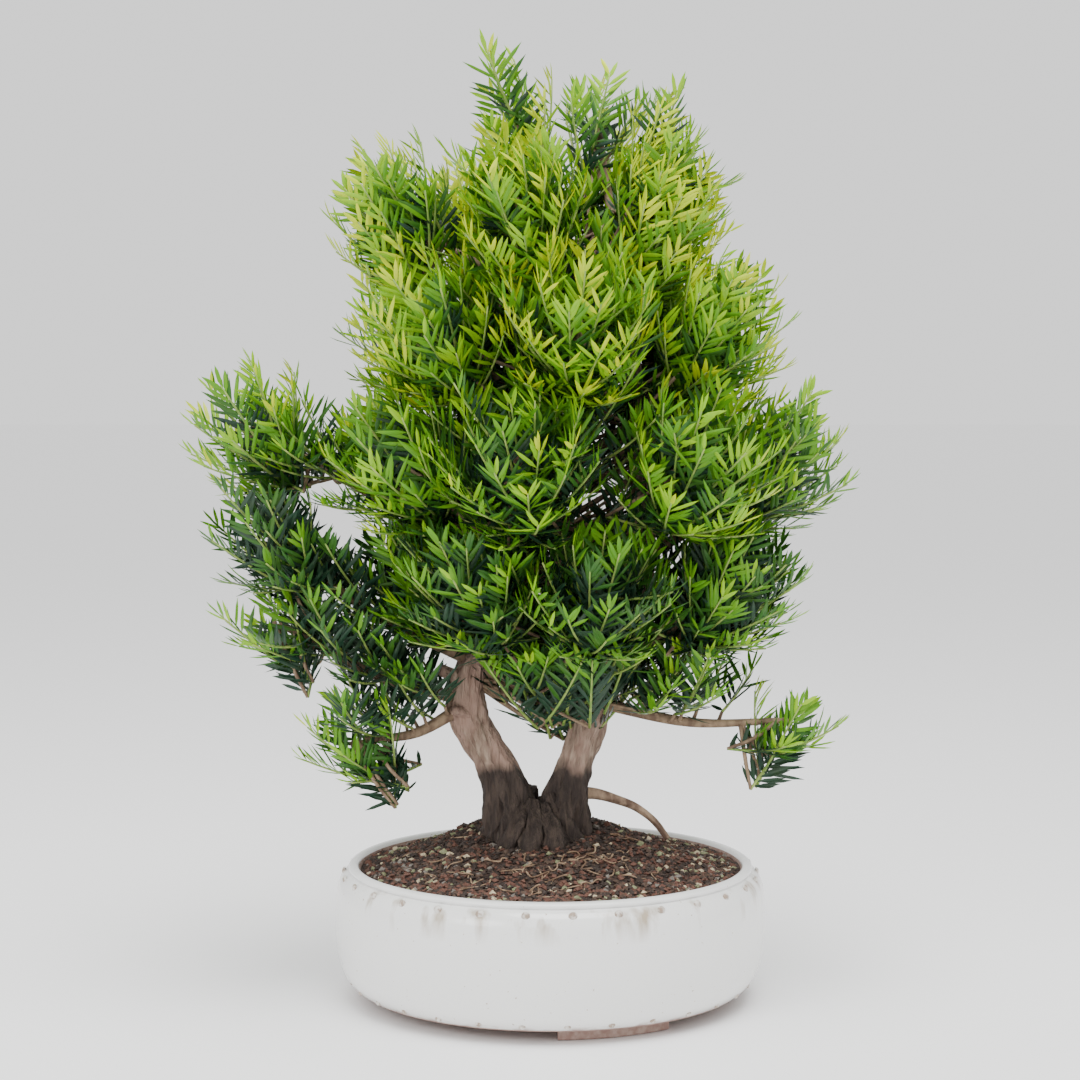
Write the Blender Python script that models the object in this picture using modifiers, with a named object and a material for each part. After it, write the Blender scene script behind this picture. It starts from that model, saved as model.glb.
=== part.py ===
"""A potted yew bonsai: a round glazed pot on three feet, a mound of soil, a twin stem on
one flared foot, its boughs, and a crown of separate masses of needle sprays.

Metres, +Z up. The photograph's view looks along +Y. Every shape is drawn about the pot's
upright axis, with the ground at height 0, and then stands on the empty "stand", which puts
the middle of the whole plant's box over the origin. An azimuth is in degrees, 0 towards
the front of the plant and growing towards its right.
"""

import math
import random

import bmesh
import bpy
from mathutils import Matrix, Vector
from mathutils.bvhtree import BVHTree

# Where the pot's axis stands, so that the box of pot and crown is centred on the origin.
POT_AXIS_X = 0.026
POT_AXIS_Y = 0.0

GAP = 0.0003
UP = Vector((0.0, 0.0, 1.0))

# The pot.
POT_STEPS = 40
RIM_HEIGHT = 0.0933
RIM_INNER_RADIUS = 0.133
BELLY_RADIUS = 0.150
BASE_RADIUS = 0.135
FOOT_HEIGHT = 0.008
FLOOR_TOP = 0.020
DRAIN_RADIUS = 0.014
FOOT_INNER_RADIUS = 0.104
FOOT_OUTER_RADIUS = 0.127
FOOT_SPAN = 36.0
FOOT_AZIMUTHS = (20.0, 140.0, 260.0)

# The soil: a flat seat under the trunk, and a crest round it that is highest at the back.
SOIL_EDGE_HEIGHT = 0.0885
SEAT_HEIGHT = 0.1075
SEAT_RADIUS = 0.043
SEAT_X = -0.009
CREST_RISE = 0.005
CREST_TILT = 0.007

# The twin stem, as rows of (x, y, height, radius) from below the soil's seat to the tips.
LEFT_STEM = (
    (-0.0225, 0.000, 0.0950, 0.0225),
    (-0.0270, 0.000, 0.1280, 0.0185),
    (-0.0345, 0.000, 0.1530, 0.0140),
    (-0.0556, 0.000, 0.1920, 0.0132),
    (-0.0570, 0.001, 0.2215, 0.0110),
    (-0.0480, 0.003, 0.2420, 0.0095),
    (-0.0177, 0.008, 0.2780, 0.0078),
    (-0.0100, 0.012, 0.3600, 0.0058),
    (0.0090, 0.008, 0.4600, 0.0042),
    (0.0080, 0.002, 0.5450, 0.0024),
)
RIGHT_STEM = (
    (0.0060, 0.000, 0.0950, 0.0205),
    (0.0115, 0.001, 0.1320, 0.0160),
    (0.0165, 0.001, 0.1580, 0.0118),
    (0.0279, 0.002, 0.1947, 0.0128),
    (0.0360, 0.006, 0.2340, 0.0108),
    (0.0600, 0.014, 0.2900, 0.0088),
    (0.0640, 0.014, 0.3850, 0.0065),
    (0.0540, 0.010, 0.4650, 0.0048),
    (0.0460, 0.006, 0.5450, 0.0024),
)
FORK_ROW = 2
STEM_SIDES = 10
FLARE_AZIMUTHS = (-75.0, -30.0, 10.0, 55.0, 150.0, 205.0)
FLARE_REACH = 0.037
FLARE_RADIUS = 0.0115

# The crown's outline, as rows of (height, left, right, front, back) from the pot's axis.
CROWN = (
    (0.230, -0.100, 0.165, 0.110, 0.115),
    (0.295, -0.150, 0.190, 0.150, 0.150),
    (0.370, -0.165, 0.212, 0.165, 0.165),
    (0.430, -0.150, 0.185, 0.155, 0.155),
    (0.500, -0.156, 0.156, 0.135, 0.135),
    (0.550, -0.152, 0.124, 0.112, 0.115),
    (0.610, -0.110, 0.100, 0.085, 0.085),
)
# Rings of masses round the stems: the height of their middle, how many, the first azimuth,
# their half width and half height, and the sprays that each one carries.
TIERS = (
    {"name": "skirt", "height": 0.288, "count": 7, "turn": 14.0, "half": (0.056, 0.050), "sprays": 4},
    {"name": "flank", "height": 0.372, "count": 7, "turn": -12.0, "half": (0.060, 0.056), "sprays": 5},
    {"name": "shoulder", "height": 0.460, "count": 6, "turn": 8.0, "half": (0.056, 0.058), "sprays": 4},
    {"name": "upper", "height": 0.540, "count": 5, "turn": -10.0, "half": (0.048, 0.056), "sprays": 4},
)
# Masses that stand out of the rings: their middle, half sizes and sprays.
SINGLE_MASSES = (
    ("top_left", (-0.020, 0.002, 0.600), (0.034, 0.036, 0.050), 3),
    ("top_middle", (0.034, 0.028, 0.603), (0.034, 0.034, 0.049), 3),
    ("top_right", (0.070, -0.024, 0.580), (0.032, 0.034, 0.048), 3),
    ("left_bough_upper", (-0.202, -0.002, 0.395), (0.056, 0.050, 0.050), 5),
    ("left_bough_lower", (-0.190, -0.020, 0.318), (0.048, 0.046, 0.040), 4),
    ("left_bough_tip", (-0.186, -0.026, 0.262), (0.052, 0.040, 0.026), 3),
    ("left_drop", (-0.128, -0.034, 0.183), (0.052, 0.036, 0.036), 3),
    ("right_drop", (0.163, -0.030, 0.196), (0.040, 0.034, 0.024), 3),
)

# A spray: a toothed blade, folded to a V along its rib.
SPRAY_TEETH = 4
SPRAY_HALF_WIDTH = 0.024
SPRAY_LENGTH = 0.056
SPRAY_THICKNESS = 0.0016
SPRAY_SWEEP = 0.012
SPRAY_FOLD = 0.32
TWIG_RADIUS = 0.0017
MASS_STEM_RADIUS = 0.0028
SEED = 41


def clear_scene():
    for obj in list(bpy.data.objects):
        bpy.data.objects.remove(obj)


def make_collection(name):
    collection = bpy.data.collections.new(name)
    bpy.context.scene.collection.children.link(collection)
    return collection


def make_material(name, colour, roughness):
    material = bpy.data.materials.new(name)
    material.use_nodes = True
    shader = material.node_tree.nodes["Principled BSDF"]
    shader.inputs["Base Color"].default_value = (*colour, 1.0)
    shader.inputs["Roughness"].default_value = roughness
    shader.inputs["Metallic"].default_value = 0.0
    return material


def add_object(name, data, collection):
    obj = bpy.data.objects.new(name, data)
    collection.objects.link(obj)
    return obj


def evaluated_mesh(obj):
    """The object's mesh with its modifiers applied, welded where a curve's caps are loose."""
    bpy.context.view_layer.update()
    graph = bpy.context.evaluated_depsgraph_get()
    mesh = bpy.data.meshes.new_from_object(obj.evaluated_get(graph))
    shape = bmesh.new()
    shape.from_mesh(mesh)
    bmesh.ops.remove_doubles(shape, verts=shape.verts, dist=1e-6)
    shape.to_mesh(mesh)
    shape.free()
    return mesh


def apply_modifiers(obj):
    mesh = evaluated_mesh(obj)
    obj.modifiers.clear()
    obj.data = mesh


def join_with(obj, pieces, solver="EXACT", operation="UNION"):
    """One Boolean of the object with a collection of pieces, which are then removed."""
    boolean = obj.modifiers.new("join", "BOOLEAN")
    boolean.operation = operation
    boolean.solver = solver
    boolean.operand_type = "COLLECTION"
    boolean.collection = pieces
    apply_modifiers(obj)
    for piece in list(pieces.objects):
        bpy.data.objects.remove(piece)
    bpy.data.collections.remove(pieces)


def keep_one_body(obj):
    """Drops loose scraps, and the inner skins of hollows that the joining sealed."""
    shape = bmesh.new()
    shape.from_mesh(obj.data)
    left = set(shape.verts)
    bodies = []
    while left:
        body = set()
        edge = [left.pop()]
        while edge:
            vertex = edge.pop()
            body.add(vertex)
            near = {link.other_vert(vertex) for link in vertex.link_edges} & left
            left -= near
            edge.extend(near)
        bodies.append(body)
    bodies.sort(key=len)
    for body in bodies[:-1]:
        bmesh.ops.delete(shape, geom=list(body), context="VERTS")
    shape.to_mesh(obj.data)
    shape.free()


def heading(azimuth):
    angle = math.radians(azimuth)
    return Vector((math.sin(angle), -math.cos(angle), 0.0))


def between(rows, value):
    """The row of named sizes at this value of its first number, read between its neighbours."""
    for low, high in zip(rows, rows[1:]):
        if value <= high[0]:
            break
    share = (value - low[0]) / (high[0] - low[0])
    return [a + (b - a) * share for a, b in zip(low[1:], high[1:])]


def smooth_rows(rows, steps):
    """Rows of (x, y, z, radius) with rounded ones added between them."""
    rows = [Vector(row) for row in rows]
    padded = [2 * rows[0] - rows[1], *rows, 2 * rows[-1] - rows[-2]]
    smooth = []
    for before, start, end, after in zip(padded, padded[1:], padded[2:], padded[3:]):
        for step in range(steps):
            t = step / steps
            smooth.append(
                0.5 * (
                    2 * start
                    + t * (end - before)
                    + t**2 * (2 * before - 5 * start + 4 * end - after)
                    + t**3 * (3 * start - before - 3 * end + after)
                )
            )
    smooth.append(rows[-1])
    return smooth


def make_tube(name, rows, sides, collection):
    """A closed tapering tube through rows of (x, y, z, radius)."""
    curve = bpy.data.curves.new(name, "CURVE")
    curve.dimensions = "3D"
    curve.bevel_depth = 1.0
    curve.bevel_resolution = sides // 2 - 2
    curve.use_fill_caps = True
    spline = curve.splines.new("POLY")
    spline.points.add(len(rows) - 1)
    for point, row in zip(spline.points, rows):
        point.co = (row[0], row[1], row[2], 1.0)
        point.radius = row[3]
    guide = add_object(name + "_guide", curve, collection)
    tube = add_object(name, evaluated_mesh(guide), collection)
    bpy.data.objects.remove(guide)
    return tube


def tree_of(obj):
    """A search tree of the object's faces."""
    shape = bmesh.new()
    shape.from_mesh(obj.data)
    tree = BVHTree.FromBMesh(shape)
    shape.free()
    return tree


# Pot


def make_pot(material, collection):
    rim_middle = RIM_INNER_RADIUS + 0.0035
    profile = (
        (rim_middle, RIM_HEIGHT),
        (0.1402, 0.0922),
        (0.1412, 0.0905),
        (0.1402, 0.0890),
        (0.1432, 0.0872),
        (0.1470, 0.0820),
        (0.1493, 0.0750),
        (BELLY_RADIUS, 0.0620),
        (BELLY_RADIUS, 0.0460),
        (0.1482, 0.0310),
        (0.1435, 0.0175),
        (BASE_RADIUS, FOOT_HEIGHT),
        (DRAIN_RADIUS, FOOT_HEIGHT),
        (DRAIN_RADIUS, FLOOR_TOP),
        (0.1180, FLOOR_TOP),
        (RIM_INNER_RADIUS, 0.0340),
        (RIM_INNER_RADIUS, 0.0915),
    )
    mesh = bpy.data.meshes.new("pot")
    corners = len(profile)
    edges = [(i, (i + 1) % corners) for i in range(corners)]
    mesh.from_pydata([(radius, 0.0, height) for radius, height in profile], edges, [])
    pot = add_object("pot", mesh, collection)
    turn = pot.modifiers.new("turn", "SCREW")
    turn.steps = POT_STEPS
    turn.render_steps = POT_STEPS
    turn.use_merge_vertices = True
    turn.merge_threshold = 0.00001
    apply_modifiers(pot)

    fittings = make_collection("pot_fittings")
    for azimuth in FOOT_AZIMUTHS:
        make_foot(azimuth, fittings)
    join_with(pot, fittings)
    pot.data.shade_smooth()
    pot.data.set_sharp_from_angle(angle=math.radians(35))
    pot.data.materials.clear()
    pot.data.materials.append(material)
    return pot


def make_foot(azimuth, collection):
    """A foot is an arc of a low ring, whose top is sunk into the pot's base."""
    sink = 0.0015
    height = FOOT_HEIGHT + sink
    curve = bpy.data.curves.new("foot", "CURVE")
    curve.dimensions = "2D"
    curve.fill_mode = "BOTH"
    curve.extrude = height / 2
    steps = 6
    angles = [azimuth + FOOT_SPAN * (step / steps - 0.5) for step in range(steps + 1)]
    outline = [heading(angle) * FOOT_OUTER_RADIUS for angle in angles]
    outline += [heading(angle) * FOOT_INNER_RADIUS for angle in reversed(angles)]
    spline = curve.splines.new("POLY")
    spline.points.add(len(outline) - 1)
    spline.use_cyclic_u = True
    for point, place in zip(spline.points, outline):
        point.co = (place.x, place.y, 0.0, 1.0)
    guide = add_object("foot_guide", curve, collection)
    mesh = evaluated_mesh(guide)
    mesh.transform(Matrix.Translation((0.0, 0.0, height / 2)))
    bpy.data.objects.remove(guide)
    add_object("foot", mesh, collection)


# Soil


def soil_height(x, y):
    """The height of the mound outside its seat."""
    away = Vector((x - SEAT_X, y))
    reach = away.length
    back = away.y / max(reach, 1e-6)
    crest = SEAT_HEIGHT + CREST_RISE + CREST_TILT * back
    edge = RIM_INNER_RADIUS - SEAT_X * away.x / max(reach, 1e-6)
    share = min(max((reach - SEAT_RADIUS) / (edge - SEAT_RADIUS), 0.0), 1.0)
    fall = share * share * (3 - 2 * share)
    return crest + (SOIL_EDGE_HEIGHT - crest) * fall


def make_soil(material, collection):
    wall = RIM_INNER_RADIUS - GAP
    floor = FLOOR_TOP + GAP
    rings = (SEAT_RADIUS, SEAT_RADIUS + 0.006, 0.080, 0.108)
    profile = [(0.0, SEAT_HEIGHT)]
    profile += [(radius, SEAT_HEIGHT) for radius in rings]
    profile += [(wall, SOIL_EDGE_HEIGHT), (wall, 0.0345), (0.1175, floor), (0.0, floor)]
    mesh = bpy.data.meshes.new("soil")
    edges = [(i, i + 1) for i in range(len(profile) - 1)]
    mesh.from_pydata([(radius, 0.0, height) for radius, height in profile], edges, [])
    soil = add_object("soil", mesh, collection)
    turn = soil.modifiers.new("turn", "SCREW")
    turn.steps = POT_STEPS
    turn.render_steps = POT_STEPS
    turn.use_merge_vertices = True
    turn.merge_threshold = 0.00001
    apply_modifiers(soil)
    for vertex in soil.data.vertices:
        place = vertex.co
        reach = math.hypot(place.x, place.y)
        if place.z < SOIL_EDGE_HEIGHT - 0.001 or reach > wall - 0.001:
            continue
        place.x += SEAT_X * (1 - max(reach - SEAT_RADIUS, 0.0) / (wall - SEAT_RADIUS))
        if reach > SEAT_RADIUS + 0.001:
            place.z = soil_height(place.x, place.y)
    soil.data.shade_smooth()
    soil.data.set_sharp_from_angle(angle=math.radians(35))
    soil.data.materials.append(material)
    return soil


# Trunk, stems and roots


def cut_at_fork(rows):
    """The smoothed rows below and above the fork, with parallel end faces a gap apart."""
    steps = 3
    smooth = smooth_rows(rows, steps)
    fork = FORK_ROW * steps
    along = (smooth[fork + 1] - smooth[fork - 1]).to_3d().normalized().to_4d()
    along.w = 0.0
    straight = 0.003
    below = smooth[:fork] + [smooth[fork] - along * straight, smooth[fork]]
    above = [smooth[fork] + along * GAP, smooth[fork] + along * straight] + smooth[fork + 1 :]
    return below, above


def make_trunk(material, collection):
    """The flared foot up to the fork, cut flat at the soil, and the two stems above it."""
    left_foot, left_rows = cut_at_fork(LEFT_STEM)
    right_foot, right_rows = cut_at_fork(RIGHT_STEM)
    trunk = make_tube("trunk", left_foot, STEM_SIDES, collection)
    roots = make_collection("trunk_roots")
    make_tube("lobe", right_foot, STEM_SIDES, roots)
    middle = Vector((SEAT_X, 0.0, 0.0))
    for azimuth in FLARE_AZIMUTHS:
        out = heading(azimuth)
        heart = middle + out * 0.012 + UP * (SEAT_HEIGHT + 0.024)
        knee = middle + out * 0.024 + UP * (SEAT_HEIGHT + 0.010)
        toe = middle + out * FLARE_REACH + UP * (SEAT_HEIGHT - 0.008)
        rows = [(*heart, 0.006), (*knee, FLARE_RADIUS), (*toe, FLARE_RADIUS * 0.5)]
        make_tube("flare", [Vector(row) for row in rows], 8, roots)
    join_with(trunk, roots)
    below = make_collection("trunk_below")
    shape = bmesh.new()
    bmesh.ops.create_cube(shape, size=0.2)
    drop = Matrix.Translation((0.0, 0.0, SEAT_HEIGHT + GAP - 0.1))
    bmesh.ops.transform(shape, matrix=drop, verts=shape.verts)
    block = bpy.data.meshes.new("below")
    shape.to_mesh(block)
    shape.free()
    add_object("below", block, below)
    join_with(trunk, below, operation="DIFFERENCE")
    keep_one_body(trunk)
    left = make_tube("left_stem", left_rows, STEM_SIDES, collection)
    right = make_tube("right_stem", right_rows, STEM_SIDES, collection)
    for wood in (trunk, left, right):
        finish_wood(wood, material)
    return trunk, left, right


def finish_wood(obj, material):
    obj.data.shade_smooth()
    obj.data.set_sharp_from_angle(angle=math.radians(50))
    obj.data.materials.clear()
    obj.data.materials.append(material)


def seat_on(tree, inside, toward):
    """Where a limb leaves this one: a point a gap above the flat it grows from, and its normal."""
    place, normal, _, _ = tree.ray_cast(inside, toward.normalized())
    return place + normal * GAP, normal


def make_surface_root(trunk_tree, material, collection):
    """The root that arches over the soil to the right of the trunk."""
    start, normal = seat_on(trunk_tree, Vector((0.010, 0.002, 0.139)), Vector((1.0, 0.1, 0.1)))
    end = Vector((0.081, 0.012, 0.0))
    end.z = soil_height(end.x, end.y) + 0.0024
    rows = [
        (*start, 0.0034),
        (*(start + normal * 0.005), 0.0038),
        (0.044, 0.008, 0.136, 0.0036),
        (0.060, 0.011, 0.130, 0.0033),
        (0.073, 0.012, 0.119, 0.0028),
        (*end, 0.0019),
    ]
    root = make_tube("surface_root", [Vector(rows[0])] + smooth_rows(rows[1:], 2), 6, collection)
    finish_wood(root, material)
    return root


# Crown


def crown_masses():
    """Every mass of foliage: its name, middle, half sizes and how many sprays it carries."""
    masses = []
    for tier in TIERS:
        left, right, front, back = between(CROWN, tier["height"])
        half, rise = tier["half"]
        for index in range(tier["count"]):
            out = heading(tier["turn"] + index * 360.0 / tier["count"])
            reach_x = right if out.x > 0 else -left
            reach_y = back if out.y > 0 else front
            middle = Vector((out.x * (reach_x - half), out.y * (reach_y - half), tier["height"]))
            masses.append({
                "name": f"{tier['name']}_{index + 1}",
                "middle": middle,
                "half": Vector((half, half, rise)),
                "sprays": tier["sprays"],
                "bough": tier["name"] in ("skirt", "flank"),
            })
    for name, middle, half, sprays in SINGLE_MASSES:
        masses.append({
            "name": name,
            "middle": Vector(middle),
            "half": Vector(half),
            "sprays": sprays,
            "bough": name in ("left_bough_upper", "right_drop"),
        })
    return masses


def row_at(rows, height):
    return Vector(between([(row[2], row[0], row[1], row[2], row[3]) for row in rows], height))


def nearest_stem(middle, height, stems):
    def distance(stem):
        return (row_at(stem["rows"], height).to_3d() - middle).length
    return min(stems, key=distance)


def add_shape(name, shape, collection):
    mesh = bpy.data.meshes.new(name)
    shape.to_mesh(mesh)
    return add_object(name, mesh, collection)


def make_bough(mass, stem, leave, collection):
    """One tapering limb from a stem to where it enters its mass."""
    rows = row_at(stem["rows"], leave)
    inside = rows.to_3d()
    toward = mass["middle"] - inside
    flat = Vector((toward.x, toward.y, 0.0))
    start, normal = seat_on(stem["tree"], inside, flat)
    knee = start + normal * 0.006
    enter = mass["middle"] - toward.normalized() * min(mass["half"]) * 0.85
    middle = (knee + enter) / 2 - UP * 0.006
    root = min(0.0046, rows.w * 0.5)
    rows = [(*start, root), (*knee, root * 0.95), (*middle, root * 0.75), (*enter, 0.0021)]
    rows = [Vector(row) for row in rows]
    rows = [rows[0]] + smooth_rows(rows[1:], 2)
    bough = make_tube("bough_" + mass["name"], rows, 6, collection)
    along = (rows[-1] - rows[-2]).to_3d().normalized()
    slant = (mass["middle"] - enter).normalized().cross(along).length
    mass["start"] = enter + along * (GAP + MASS_STEM_RADIUS * slant)
    return bough


def make_mass_stem(mass, stem, leave, collection):
    """The stem of a mass that grows straight from one of the plant's own stems."""
    middle = mass["middle"]
    inside = row_at(stem["rows"], leave).to_3d()
    start, normal = seat_on(stem["tree"], inside, middle - inside)
    slant = (middle - start).normalized().cross(normal).length
    mass["start"] = start + normal * MASS_STEM_RADIUS * slant
    return draw_mass_stem(mass, collection)


def draw_mass_stem(mass, collection):
    mass["end"] = mass["middle"] + (mass["middle"] - mass["start"]) * 0.15
    shape = cone_between(mass["start"], mass["end"], MASS_STEM_RADIUS, 0.0012)
    body = add_shape(mass["name"], shape, collection)
    shape.free()
    return body


def first_clear(make, mass, stems, collection, limbs):
    """The limb made at the first height on its stem where it touches no other limb."""
    middle = mass["middle"]
    spread = math.hypot(middle.x, middle.y)
    lowest = min(max(middle.z - 0.45 * spread, 0.205), 0.52)
    for step in range(12):
        lift = 0.009 * ((step + 1) // 2) * (1 if step % 2 else -1)
        leave = min(max(lowest + lift, 0.185), 0.535)
        limb = make(mass, nearest_stem(middle, leave, stems), leave, collection)
        tree = tree_of(limb)
        if not any(tree.overlap(other) for other in limbs):
            return limb, tree
        bpy.data.objects.remove(limb)
    raise ValueError(mass["name"] + " finds no clear way to a stem")


def cone_between(start, end, radius_1, radius_2):
    """A closed three-sided tapering twig."""
    shape = bmesh.new()
    length = (end - start).length
    bmesh.ops.create_cone(
        shape, cap_ends=True, segments=3, radius1=radius_1, radius2=radius_2, depth=length
    )
    turn = (end - start).to_track_quat("Z", "Y").to_matrix().to_4x4()
    bmesh.ops.transform(shape, matrix=Matrix.Translation((start + end) / 2) @ turn, verts=shape.verts)
    return shape


def spray_on_twig(twig, length, half_width, thickness):
    """One spray along +Y: a four-sided twig that runs on as a rib, with a row of teeth on
    both sides of it, folded up to a V."""
    shape = bmesh.new()
    pitch = length / (SPRAY_TEETH + 0.35)
    rib = 0.0022
    base = TWIG_RADIUS + thickness / 2
    tip = shape.verts.new((0.0, twig + length, 0.0))
    foot = {side: shape.verts.new((side * base, 0.0, 0.0)) for side in (1, -1)}
    heel = {face: shape.verts.new((0.0, 0.0, face * base)) for face in (1, -1)}
    ribs = {}
    for face in (1, -1):
        heights = [twig + pitch * (k + 0.55) for k in range(SPRAY_TEETH)]
        ribs[face] = [shape.verts.new((0.0, height, face * thickness / 2)) for height in heights]
    for side in (1, -1):
        notches = []
        teeth = []
        for k in range(SPRAY_TEETH):
            share = k / (SPRAY_TEETH - 1)
            reach = half_width * (0.80 + 0.45 * share - 0.85 * share**2)
            sweep = SPRAY_SWEEP * (0.7 + 0.5 * share)
            notches.append(shape.verts.new((side * rib, twig + pitch * (k + 0.12), 0.0)))
            height = twig + pitch * (k + 0.5) + sweep
            teeth.append(shape.verts.new((side * reach, height, reach * SPRAY_FOLD)))
        for face in (1, -1):
            shape.faces.new((foot[side], notches[0], ribs[face][0], heel[face]))
            for k in range(SPRAY_TEETH):
                last = k == SPRAY_TEETH - 1
                ahead = tip if last else notches[k + 1]
                shape.faces.new((ribs[face][k], notches[k], teeth[k]))
                shape.faces.new((ribs[face][k], teeth[k], ahead))
                if not last:
                    shape.faces.new((ribs[face][k], ahead, ribs[face][k + 1]))
    shape.faces.new((foot[1], heel[1], foot[-1], heel[-1]))
    bmesh.ops.triangulate(shape, faces=shape.faces)
    bmesh.ops.recalc_face_normals(shape, faces=shape.faces)
    return shape


def even_directions(count):
    """Directions spread evenly over a ball."""
    golden = math.pi * (3 - math.sqrt(5))
    for index in range(count):
        height = 1 - 2 * (index + 0.5) / count
        ring = math.sqrt(1 - height * height)
        yield Vector((ring * math.cos(golden * index), ring * math.sin(golden * index), height))


def spray_aims(mass, dice):
    """Where on the mass's skin its sprays end: the outer and upper side first."""
    out = Vector((mass["middle"].x, mass["middle"].y, 0.0)) - Vector((0.01, 0.0, 0.0))
    lean = out.normalized() * min(out.length / 0.05, 1.0) + UP * 0.45
    roll = Matrix.Rotation(dice.uniform(0.0, math.tau), 3, "Z")
    aims = [roll @ aim for aim in even_directions(int(mass["sprays"] * 1.8))]
    aims.sort(key=lambda aim: -aim.dot(lean))
    return aims, lean.normalized()


def spray_shape(mass, aim, reach, thicker):
    """A spray that leaves the mass's stem and ends at this share of its reach along the aim."""
    half = mass["half"]
    tip = mass["middle"] + Vector(aim[i] * half[i] for i in range(3)) * reach
    start, end = mass["start"], mass["end"]
    line = end - start
    length = min(SPRAY_LENGTH, min(half) * 1.5)
    rise = (aim + mass["lean"] * 0.5 + UP * 0.35).normalized()
    share = (tip - rise * length * 1.35 - start).dot(line) / line.length_squared
    base = start + line * min(max(share, 0.15), 0.92)
    along = (tip - base).normalized()
    twig = max((tip - base).length - length, 0.004)
    length = (tip - base).length - twig
    width = SPRAY_HALF_WIDTH * min(length / SPRAY_LENGTH + 0.1, 1.0)
    shape = spray_on_twig(twig, length, width, SPRAY_THICKNESS + thicker * 2)
    side = along.cross(mass["lean"] + UP * 0.6)
    if side.length < 1e-3:
        side = along.cross(Vector((0.3, 1.0, 0.2)))
    side.normalize()
    face = side.cross(along)
    place = Matrix.Translation(base) @ Matrix((side, along, face)).transposed().to_4x4()
    bmesh.ops.transform(shape, matrix=place, verts=shape.verts)
    return shape


def grow_crown(masses, stems, others, material, bark, collection):
    """Boughs and the stems of the masses first, then the sprays in turns, so that each mass
    keeps to its own space and no spray touches a limb or a neighbour."""
    dice = random.Random(SEED)
    limbs = [stem["tree"] for stem in stems] + others
    for mass in masses:
        if mass["bough"]:
            bough, tree = first_clear(make_bough, mass, stems, collection, limbs)
            finish_wood(bough, bark)
            limbs.append(tree)
    stem_trees = {}
    for mass in masses:
        if mass["bough"]:
            mass["body"] = draw_mass_stem(mass, collection)
            tree = tree_of(mass["body"])
        else:
            clear_of = limbs + list(stem_trees.values())
            mass["body"], tree = first_clear(make_mass_stem, mass, stems, collection, clear_of)
        mass["pieces"] = make_collection(mass["name"] + "_pieces")
        stem_trees[mass["name"]] = tree
        mass["aims"], mass["lean"] = spray_aims(mass, dice)
        mass["placed"] = 0
    taken = []
    for turn in range(max(len(mass["aims"]) for mass in masses)):
        for mass in masses:
            if turn < len(mass["aims"]) and mass["placed"] < mass["sprays"]:
                place_spray(mass, mass["aims"][turn], dice, limbs, stem_trees, taken)
    for mass in masses:
        join_with(mass["body"], mass["pieces"], solver="MANIFOLD")
        keep_one_body(mass["body"])
        mass["body"].data.materials.clear()
        mass["body"].data.materials.append(material)


def place_spray(mass, aim, dice, limbs, stem_trees, taken):
    """Tries a spray at this aim, a little nearer each time, and skips it where it touches."""
    clearance = 0.0005
    others = [tree for name, tree in stem_trees.items() if name != mass["name"]]
    others += [tree for name, tree in taken if name != mass["name"]]
    for reach in (1.0, 0.88, 0.76):
        jitter = Vector((dice.uniform(-1, 1), dice.uniform(-1, 1), dice.uniform(-1, 1))) * 0.12
        turned = (aim + jitter).normalized()
        test = spray_shape(mass, turned, reach, clearance)
        tree = BVHTree.FromBMesh(test)
        test.free()
        if any(tree.overlap(other) for other in limbs + others):
            continue
        shape = spray_shape(mass, turned, reach, 0.0)
        add_shape("spray", shape, mass["pieces"])
        shape.free()
        taken.append((mass["name"], tree))
        mass["placed"] += 1
        return


clear_scene()
plant = make_collection("potted_yew")
glaze = make_material("white_glaze", (0.86, 0.85, 0.82), 0.25)
earth = make_material("soil", (0.075, 0.048, 0.036), 0.95)
bark = make_material("bark", (0.26, 0.19, 0.14), 0.85)
needles = make_material("needles", (0.16, 0.34, 0.04), 0.5)

make_pot(glaze, plant)
make_soil(earth, plant)
trunk, left_stem, right_stem = make_trunk(bark, plant)
root = make_surface_root(tree_of(trunk), bark, plant)
stems = [
    {"rows": LEFT_STEM, "tree": tree_of(left_stem)},
    {"rows": RIGHT_STEM, "tree": tree_of(right_stem)},
]
grow_crown(crown_masses(), stems, [tree_of(trunk), tree_of(root)], needles, bark, plant)

stand = bpy.data.objects.new("stand", None)
plant.objects.link(stand)
stand.location = (POT_AXIS_X, POT_AXIS_Y, 0.0)
for piece in plant.objects:
    if piece is not stand:
        piece.parent = stand
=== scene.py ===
import math
import random

import bpy
import numpy as np
from mathutils import Matrix, Vector, noise


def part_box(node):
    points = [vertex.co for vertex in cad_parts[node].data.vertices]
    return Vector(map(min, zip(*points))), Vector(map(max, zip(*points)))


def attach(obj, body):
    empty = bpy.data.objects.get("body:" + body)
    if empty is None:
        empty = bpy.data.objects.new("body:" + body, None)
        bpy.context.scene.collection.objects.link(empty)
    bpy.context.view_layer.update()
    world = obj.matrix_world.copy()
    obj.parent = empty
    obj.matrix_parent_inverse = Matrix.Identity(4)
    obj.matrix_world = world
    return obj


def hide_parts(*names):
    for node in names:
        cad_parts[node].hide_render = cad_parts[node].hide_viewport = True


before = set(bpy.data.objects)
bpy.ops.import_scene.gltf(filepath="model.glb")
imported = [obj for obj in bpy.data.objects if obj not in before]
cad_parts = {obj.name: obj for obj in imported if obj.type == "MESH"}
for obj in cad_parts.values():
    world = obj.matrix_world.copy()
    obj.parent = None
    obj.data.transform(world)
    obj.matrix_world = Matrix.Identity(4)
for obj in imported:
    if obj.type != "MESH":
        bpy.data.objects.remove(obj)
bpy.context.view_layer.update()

# The pot is a low round drum of stoneware, thrown in one piece with a rolled lip.
# A worn white glaze covers the wall down to a base of bare clay, and water has left brown
# drip stains under the lip. Lengths are in metres, from the pot's upright axis.
pot_low, pot_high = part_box("pot")
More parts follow.
